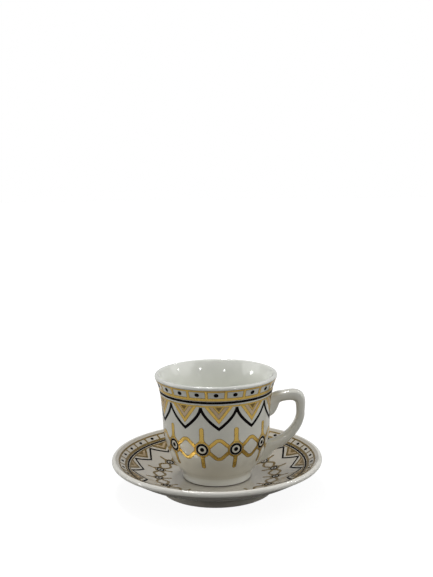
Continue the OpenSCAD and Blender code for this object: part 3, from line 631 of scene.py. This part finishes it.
# Saucer print, in from the rim: the same parts and values in the same order, with a zigzag for the
# scallops and the stems' gaps to the zigzag and to the well
SAUCER_PANELS, SAUCER_REPEATS, SAUCER_TURN = 32, 16, 2.7
RIM_GAP, OUTER_LINE, PANEL_RUN, INNER_LINE = 3.6, 0.9, 2.4, 1.3
DISH_STRIPE_GAP, DISH_STRIPE_W, DISH_CHEVRON_GAP, DISH_CHEVRON_LINE = 0.1, 0.9, 0.25, 0.7
DISH_BAR, DISH_LAP, DISH_DOT = 1.15, 0.2, (1.12, 0.8)
DISH_CHEVRON_SHARE, DISH_CHEVRON_DROP, DISH_CHEVRON_LIFT = 0.76, 4.8, 0.25
DISH_CHEVRON_NEST = ((1.0, 0.7, 0.0), (0.69, 0.33, 0.55))
ZIGZAG_W, ZIGZAG_RUN, ZIGZAG_TIP, ZIGZAG_CUSP = 1.1, 7.0, 0.3, 0.35
DISH_CHAIN_SHARE, DISH_LINK_H, DISH_LINK_W = 0.589, 3.85, 1.45
DISH_EYE_R, DISH_EYE_W, DISH_PUPIL_R, DISH_HALO_W, DISH_EYE_STEPS = 2.2, 0.84, 0.76, 0.75, 48
OUT_STEM_GAP, IN_STEM_GAP, DISH_STEM_W, DISH_STEM_REACH = 0.6, 4.0, 1.3, 1.5
OUT_STEM_SPREAD, IN_STEM_SPREAD = 1.2, 0.4

border_out = SAUCER_R - RIM_GAP
panel_out = border_out - OUTER_LINE
panel_in = panel_out - PANEL_RUN
border_in = panel_in - INNER_LINE
stripe_out = border_in - DISH_STRIPE_GAP
stripe_in = stripe_out - DISH_STRIPE_W
chevron_out = stripe_in - DISH_CHEVRON_GAP
chevron_in = chevron_out - DISH_CHEVRON_LINE
zigzag_out = chevron_in - FILM_CLEAR
zigzag_in = chevron_in - ZIGZAG_RUN
eye_circle = WELL_R + DISH_CHAIN_SHARE * (zigzag_in - WELL_R)
dish_half_turn = math.pi / SAUCER_REPEATS
dish_tips = turns(SAUCER_REPEATS)
dish_eyes = dish_tips + dish_half_turn
zigzag_half = zigzag_out * math.sin(dish_half_turn)
dish_chain_half = eye_circle * math.sin(dish_half_turn)

saucer_border, saucer_dots = Layer(on_dish, crisp=0.85), Layer(on_dish)
panels(saucer_border, saucer_dots, (border_in, panel_in), (panel_out, border_out), SAUCER_PANELS,
       SAUCER_TURN, DISH_BAR, DISH_LAP, DISH_DOT)

saucer_stripe = Layer(on_dish)
band(saucer_stripe, stripe_in, stripe_out)

saucer_chevrons = Layer(on_dish, crisp=0.9)
band(saucer_chevrons, chevron_in, chevron_out)
chevrons(saucer_chevrons, dish_tips, chevron_in, zigzag_half * DISH_CHEVRON_SHARE, DISH_CHEVRON_DROP,
         DISH_CHEVRON_LIFT, DISH_CHEVRON_NEST)

saucer_zigzag = Layer(on_dish)
dish_tip = np.array([0.0, zigzag_in + ZIGZAG_W * ZIGZAG_TIP])
dish_cusp = np.array([zigzag_half, zigzag_out * math.cos(dish_half_turn) - ZIGZAG_CUSP])
zigzag = stroke_path([dish_cusp, dish_tip, dish_cusp * [-1, 1]], ZIGZAG_W)
saucer_zigzag.add(dish_tips, zigzag, ZIGZAG_W)

saucer_chain, saucer_rings = Layer(on_dish, crisp=0.75), Layer(on_dish)
links(saucer_chain, dish_tips, eye_circle * math.cos(dish_half_turn),
      dish_chain_half - DISH_EYE_R - FILM_CLEAR, DISH_LINK_H, DISH_LINK_W)
eyes(saucer_chain, saucer_rings, dish_eyes, eye_circle,
     (DISH_EYE_R, DISH_EYE_W, DISH_PUPIL_R, DISH_HALO_W),
     ((zigzag_in - OUT_STEM_GAP - eye_circle, DISH_STEM_W, OUT_STEM_SPREAD),
      (WELL_R + IN_STEM_GAP - eye_circle, DISH_STEM_W, IN_STEM_SPREAD)), DISH_STEM_REACH, DISH_EYE_STEPS)


# Materials

class Value:
    """A socket in shader maths: each operator adds one Math node."""

    def __init__(self, board, socket):
        self.board, self.socket = board, socket

    def maths(self, operation, first, second):
        return self.board.node("ShaderNodeMath", {"operation": operation}, [first, second])

    def __add__(self, other):
        return self.maths("ADD", self, other)

    def __radd__(self, other):
        return self.maths("ADD", other, self)

    def __sub__(self, other):
        return self.maths("SUBTRACT", self, other)

    def __rsub__(self, other):
        return self.maths("SUBTRACT", other, self)

    def __mul__(self, other):
        return self.maths("MULTIPLY", self, other)

    def __rmul__(self, other):
        return self.maths("MULTIPLY", other, self)


class Board:
    """The node board of a material or of the world."""

    def __init__(self, owner):
        owner.use_nodes = True
        self.tree = owner.node_tree
        self.tree.nodes.clear()

    def node(self, kind, settings=None, inputs=(), out=0):
        """Any node: settings are set first, then each input takes a value or a link."""
        made = self.tree.nodes.new(kind)
        for key, value in (settings or {}).items():
            setattr(made, key, value)
        for key, value in (inputs.items() if isinstance(inputs, dict) else enumerate(inputs)):
            if isinstance(value, Value):
                self.tree.links.new(value.socket, made.inputs[key])
            else:
                made.inputs[key].default_value = value
        return Value(self, made.outputs[out]) if made.outputs else None

    def mix(self, share, first, second):
        """Colour between two colours, each of them linked or given as three numbers."""
        first, second = (c if isinstance(c, Value) else (*c, 1) for c in (first, second))
        return self.node("ShaderNodeMix", {"data_type": "RGBA"}, {0: share, 6: first, 7: second}, out=2)

    def place(self):
        """Place on the piece, in metres in the shared frame."""
        return self.node("ShaderNodeTexCoord", out="Object")

    def mark(self, name):
        """A number that the mesh carries at its points."""
        return self.node("ShaderNodeAttribute", {"attribute_name": name}, out="Fac")

    def ray(self, kind):
        """1 for rays of one kind, 0 for others."""
        return self.node("ShaderNodeLightPath", out=f"Is {kind} Ray")

    def cloud(self, scale, detail):
        """Soft noise over the piece, from 0 to 1."""
        sockets = {"Vector": self.place(), "Scale": scale, "Detail": detail}
        return self.node("ShaderNodeTexNoise", {}, sockets)

    def bump(self, height, strength, distance):
        """Normal of a surface that rises and falls by a height from 0 to 1, over a distance in metres."""
        sockets = {"Strength": strength, "Distance": distance, "Height": height}
        return self.node("ShaderNodeBump", {}, sockets)

    def between(self, value, low, high):
        """0 below low and 1 above high, smooth between."""
        smooth = {"interpolation_type": "SMOOTHSTEP"}
        return self.node("ShaderNodeMapRange", smooth, [value, low, high, 0.0, 1.0])

    def height(self):
        """Height above the table."""
        return self.node("ShaderNodeSeparateXYZ", {}, [self.place()], out="Z")

    def surface(self, **inputs):
        """The shader of the material, with its sockets named with underscores for spaces."""
        sockets = {key.replace("_", " "): value for key, value in inputs.items()}
        shader = self.node("ShaderNodeBsdfPrincipled", {}, sockets)
        self.node("ShaderNodeOutputMaterial", {}, [shader])


# Glaze: the millimetres over which it begins above a wiped foot, how much bare body its clouds show, its
# roughness where it is bare, where it is whole and what the clouds add, and its coat
WIPED_EDGE, CLOUD_SHARE = 0.25, 0.06
BARE_ROUGH, GLAZE_ROUGH, CLOUD_ROUGH, GLAZE_COAT = 0.62, 0.06, 0.03, 0.4

# Gold: the colours of its outline and its wash, its roughness with what its wandering and the wash add,
# and how metallic its outline is, with what the gold adds and the wash takes away
OUTLINE_TONE, WASH_TONE = (0.22, 0.14, 0.035), (0.70, 0.54, 0.36)
GOLD_ROUGH, GOLD_WANDER, WASH_ROUGH = 0.2, 0.16, 0.2
OUTLINE_METAL, GOLD_METAL, WASH_LOSS = 0.6, 0.35, 0.9

# Black: its two tones, and its roughness with what its wandering adds
BLACK_DEEP, BLACK_PALE = (0.0025, 0.0015, 0.0015), (0.006, 0.004, 0.004)
BLACK_ROUGH, BLACK_WANDER = 0.4, 0.15


def porcelain(name, foot_top, white, painted_shade_tone, bare_foot_and_contact_shade):
    """Glazed white porcelain: faint clouds where a little of the bare body's colour shows, glaze that
    undulates a little, a darker, warmer tone painted as shade on the points not kept out of it, and a foot
    that is wiped bare below foot_top millimetres, whose tone on the cup is a painted dark contact shadow."""
    material = bpy.data.materials.new(name)
    board = Board(material)
    clouds = board.cloud(scale=45.0, detail=3.0)
    ripple = board.cloud(scale=160.0, detail=2.0)
    glazed = board.between(board.height(), foot_top * MM, (foot_top + WIPED_EDGE) * MM)
    # Painted shade: away from the points kept out of it, the porcelain takes a darker, warmer tone that
    # stands in for shade
    body = board.mix(board.mark("unshaded"), painted_shade_tone, white)
    # Below the glaze's start the foot takes its own tone: on the saucer the bare body's colour, on the cup
    # a painted dark contact shadow
    colour = board.mix(glazed * (1 - CLOUD_SHARE + clouds * CLOUD_SHARE), bare_foot_and_contact_shade, body)
    bump = board.bump(ripple * glazed, strength=0.12, distance=0.0004)
    rough = BARE_ROUGH - glazed * (BARE_ROUGH - GLAZE_ROUGH - clouds * CLOUD_ROUGH)
    board.surface(Base_Color=colour, Roughness=rough, Normal=bump, IOR=1.54, Coat_Roughness=0.03,
                  Coat_Weight=glazed * GLAZE_COAT)
    return material


def bright_gold(name, thin, full):
    """Fired gold: its colour wanders between where it lies thin and where it lies full, and so does its
    gloss. It has dark printed outlines, and is matt and rosy where it was only washed on."""
    material = bpy.data.materials.new(name)
    board = Board(material)
    wash = board.mark("wash")
    inside = board.between(board.mark("edge"), OUTLINE / 2, OUTLINE)
    wander = board.cloud(scale=220.0, detail=4.0)
    fine = board.cloud(scale=1500.0, detail=2.0)
    gilt = board.mix(wash, board.mix(wander, thin, full), WASH_TONE)
    colour = board.mix(inside, OUTLINE_TONE, gilt)
    bump = board.bump(fine, strength=0.15, distance=0.0001)
    metal = (OUTLINE_METAL + inside * GOLD_METAL) * (1 - wash * WASH_LOSS)
    rough = GOLD_ROUGH + wander * GOLD_WANDER + wash * WASH_ROUGH
    board.surface(Base_Color=colour, Metallic=metal, Roughness=rough, Normal=bump)
    return material


def black_enamel(name):
    """Fired black enamel: near black, with a low gloss that is a little uneven."""
    material = bpy.data.materials.new(name)
    board = Board(material)
    wander = board.cloud(scale=260.0, detail=3.0)
    colour = board.mix(wander, BLACK_DEEP, BLACK_PALE)
    rough = BLACK_ROUGH + wander * BLACK_WANDER
    board.surface(Base_Color=colour, Roughness=rough, IOR=1.5, Specular_IOR_Level=0.03)
    return material


# The second tone of each glaze is painted shade, a darker, warmer tone that stands in for the shade on the
# cup's outside and the saucer's dish
saucer_glaze = porcelain("saucer_glaze", foot_top=0.45, white=(0.90, 0.88, 0.81),
                         painted_shade_tone=(0.61, 0.572, 0.495), bare_foot_and_contact_shade=(0.60, 0.575, 0.52))
# The cup's foot tone is a painted dark contact shadow along the lowest half millimetre of its foot
cup_glaze = porcelain("cup_glaze", foot_top=CUP_Z + 0.5, white=(0.91, 0.92, 0.86),
                      painted_shade_tone=(0.81, 0.805, 0.73), bare_foot_and_contact_shade=(0.14, 0.125, 0.11))
cup_gold = bright_gold("cup_gold", thin=(0.62, 0.41, 0.095), full=(0.78, 0.55, 0.16))
# The saucer's gold is the cup's gold painted darker as shade, standing in for the dimmer reflections on its
# upturned face
shaded_saucer_gold = bright_gold("shaded_saucer_gold", thin=(0.22, 0.148, 0.045), full=(0.31, 0.218, 0.075))
black = black_enamel("black_enamel")


def dress(piece, body, material, node):
    """Puts a piece in place of a CAD node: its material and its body."""
    piece.data.materials.append(material)
    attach(piece, body)
    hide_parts(node)


lip_start = len(cup_line) - len(cup_inside) - LIP_STEPS
# The cup's lip, inside and outer foot and the saucer's rim are kept out of the painted shade, so they show
# the lighter tone
unshaded_lip = (cup_line[:, 1] > border_top) | (np.arange(len(cup_line)) > lip_start)
unshaded_foot = (cup_line[:, 1] < FOOT_H) & (cup_line[:, 0] > foot_in)
unshaded_rim = saucer_line[:, 0] > SAUCER_R - UNSHADED_RIM
saucer_shell = revolved("saucer_shell", saucer_line, 0, SAUCER_SIDES, unshaded_rim)
dress(saucer_shell, "saucer", saucer_glaze, "saucer_dish")
cup_shell = revolved("cup_shell", cup_line, CUP_Z, CUP_SIDES, unshaded_lip | unshaded_foot)
dress(cup_shell, "cup", cup_glaze, "cup_body")
dress(handle_strap("handle_strap"), "cup", cup_glaze, "cup_handle")
for layer, body, slot, material, node in (
        (saucer_border, "saucer", "bright_gold", shaded_saucer_gold, "saucer_gold_border"),
        (saucer_dots, "saucer", "black_enamel", black, "saucer_border_dots"),
        (saucer_stripe, "saucer", "black_enamel", black, "saucer_black_stripe"),
        (saucer_chevrons, "saucer", "bright_gold", shaded_saucer_gold, "saucer_gold_chevrons"),
        (saucer_zigzag, "saucer", "black_enamel", black, "saucer_black_zigzag"),
        (saucer_chain, "saucer", "bright_gold", shaded_saucer_gold, "saucer_gold_chain"),
        (saucer_rings, "saucer", "black_enamel", black, "saucer_eye_rings"),
        (cup_border, "cup", "bright_gold", cup_gold, "cup_gold_border"),
        (cup_dots, "cup", "black_enamel", black, "cup_border_dots"),
        (cup_stripe, "cup", "black_enamel", black, "cup_black_stripe"),
        (cup_chevrons, "cup", "bright_gold", cup_gold, "cup_gold_chevrons"),
        (cup_scallops, "cup", "black_enamel", black, "cup_black_scallops"),
        (cup_chain, "cup", "bright_gold", cup_gold, "cup_gold_chain"),
        (cup_rings, "cup", "black_enamel", black, "cup_eye_rings")):
    dress(layer.piece(node + "_layer"), body, material, node)


# Stage, light and camera

# Strength of the world to the camera, in mirrors and as light
WORLD_SEEN, WORLD_MIRRORED, WORLD_LIGHT = 1.0, 0.42, 0.11

# Floor: its half width, the rings over which it comes out of the saucer's shade and turns into the
# background, its colours, its glow near the object and far from it, and how much of that is seen and
# mirrored
FLOOR_REACH, SHADE_RING, FAR_RING = 4000.0, (35.0, 75.0), (70.0, 400.0)
SHADE_TONE, LIGHT_TONE = (0.02, 0.02, 0.018), (0.24, 0.24, 0.23)
MIRRORED_TONE, SEEN_TONE = (0.62, 0.61, 0.58), (0.9, 0.9, 0.9)
NEAR_GLOW, FAR_GLOW, GLOW_SEEN, GLOW_MIRRORED = 1.15, 1.3, 0.8, 0.5

# Middle of the object that the lamps face, in metres, and the guide that keeps their edges level
LAMP_AIM, LAMP_GUIDE = (0.0, 0.0, 0.04), (0.0, 1.0, 0.001)

# Camera: its turns, its place in metres, and its lens and sensor in millimetres
PITCH, YAW, ROLL = math.radians(8.09), math.radians(0.07), math.radians(-0.745)
VIEW_PLACE, VIEW_LENS, VIEW_SENSOR = (0.0004, -0.44984, 0.17356), 53.36, 36.0


def backdrop(board, seen, mirrored, light):
    """Strength of the surround: seen for what the camera sees directly, mirrored for what gloss and metal
    show, and light for all that it sheds on the object."""
    direct, gloss = board.ray("Camera"), board.ray("Glossy")
    return direct * (seen - light) + gloss * (mirrored - light) + light


world = bpy.data.worlds.new("studio")
bpy.context.scene.world = world
sky = Board(world)
surround = backdrop(sky, WORLD_SEEN, WORLD_MIRRORED, WORLD_LIGHT)
glow = sky.node("ShaderNodeBackground", {}, {"Color": (1, 1, 1, 1), "Strength": surround})
sky.node("ShaderNodeOutputWorld", {}, [glow])


def pale_floor(name):
    """Floor paint: dark under the saucer and grey further out for the light it sheds, paler in mirrors,
    and for the camera mostly a glow that reaches white away from the object, over matt paint that takes
    the shadow."""
    material = bpy.data.materials.new(name)
    board = Board(material)
    seen, mirrored = board.ray("Camera"), board.ray("Glossy")
    apart = board.node("ShaderNodeVectorMath", {"operation": "LENGTH"}, [board.place()], out=1)
    shade = board.between(apart, *(r * MM for r in SHADE_RING))
    far = board.between(apart, *(r * MM for r in FAR_RING))
    tone = board.mix(mirrored, board.mix(shade, SHADE_TONE, LIGHT_TONE), MIRRORED_TONE)
    matt = board.node("ShaderNodeBsdfDiffuse", {}, {"Color": board.mix(seen, tone, SEEN_TONE)})
    white = board.mix(far, [NEAR_GLOW / FAR_GLOW] * 3, (1, 1, 1))
    lit = board.node("ShaderNodeEmission", {}, {"Color": white, "Strength": FAR_GLOW})
    share = seen * GLOW_SEEN + mirrored * far * GLOW_MIRRORED
    board.node("ShaderNodeOutputMaterial", {}, [board.node("ShaderNodeMixShader", {}, [share, matt, lit])])
    return material


corners = FLOOR_REACH * np.array([[-1, -1, 0], [1, -1, 0], [1, 1, 0], [-1, 1, 0]])
floor = put_mesh("floor", corners, [[0, 1, 2, 3]])
floor.data.materials.append(pale_floor("pale_floor"))


def softbox(name, turn, rise, far, size, power):
    """Square area lamp that faces the object: turn and rise are its degrees from the front towards +X and
    above the level, far and size are metres, and power is in watts."""
    turn, rise = math.radians(turn), math.radians(rise)
    away = np.array([math.sin(turn) * math.cos(rise), -math.cos(turn) * math.cos(rise), math.sin(rise)])
    across = np.cross(LAMP_GUIDE, away)
    across /= np.linalg.norm(across)
    lamp = bpy.data.lights.new(name, "AREA")
    lamp.size, lamp.energy = size, power
    holder = bpy.data.objects.new(name, lamp)
    turned = Matrix(np.column_stack([across, np.cross(away, across), away]).tolist()).to_4x4()
    turned.translation = far * away + LAMP_AIM
    holder.matrix_world = turned
    bpy.context.scene.collection.objects.link(holder)


for lamp_row in (
        ("overhead", -152, 72, 1.3, 0.28, 5.5),
        ("front_ceiling", 0, 66, 1.4, 1.2, 3.6),
        ("left_window", -86, 13, 1.1, 0.9, 3.4),
        ("window_glint", -86, 11, 1.1, 0.14, 0.7),
        ("right_window", 84, 28, 1.2, 1.2, 5.4),
        ("ceiling_spot_a", 36, 22, 1.0, 0.06, 0.25),
        ("ceiling_spot_b", -19, 18, 1.0, 0.06, 0.25),
        ("ceiling_spot_c", 90, 20, 1.0, 0.06, 0.2),
        ("ceiling_spot_d", 126, 48, 1.0, 0.06, 0.3)):
    softbox(*lamp_row)

ahead = np.array([math.sin(YAW) * math.cos(PITCH), math.cos(YAW) * math.cos(PITCH), -math.sin(PITCH)])
right = np.array([math.cos(YAW), -math.sin(YAW), 0.0])
up = np.cross(right, ahead)
across = math.cos(ROLL) * right + math.sin(ROLL) * up
upright = -math.sin(ROLL) * right + math.cos(ROLL) * up
view = bpy.data.cameras.new("photo_view")
view.lens, view.sensor_width, view.sensor_fit = VIEW_LENS, VIEW_SENSOR, "AUTO"
view.clip_start, view.clip_end = 0.01, 20.0
camera = bpy.data.objects.new("photo_view", view)
stand = Matrix(np.column_stack([across, upright, -ahead]).tolist()).to_4x4()
stand.translation = VIEW_PLACE
camera.matrix_world = stand
bpy.context.scene.collection.objects.link(camera)
bpy.context.scene.camera = camera
bpy.context.scene.view_settings.view_transform = "Standard"
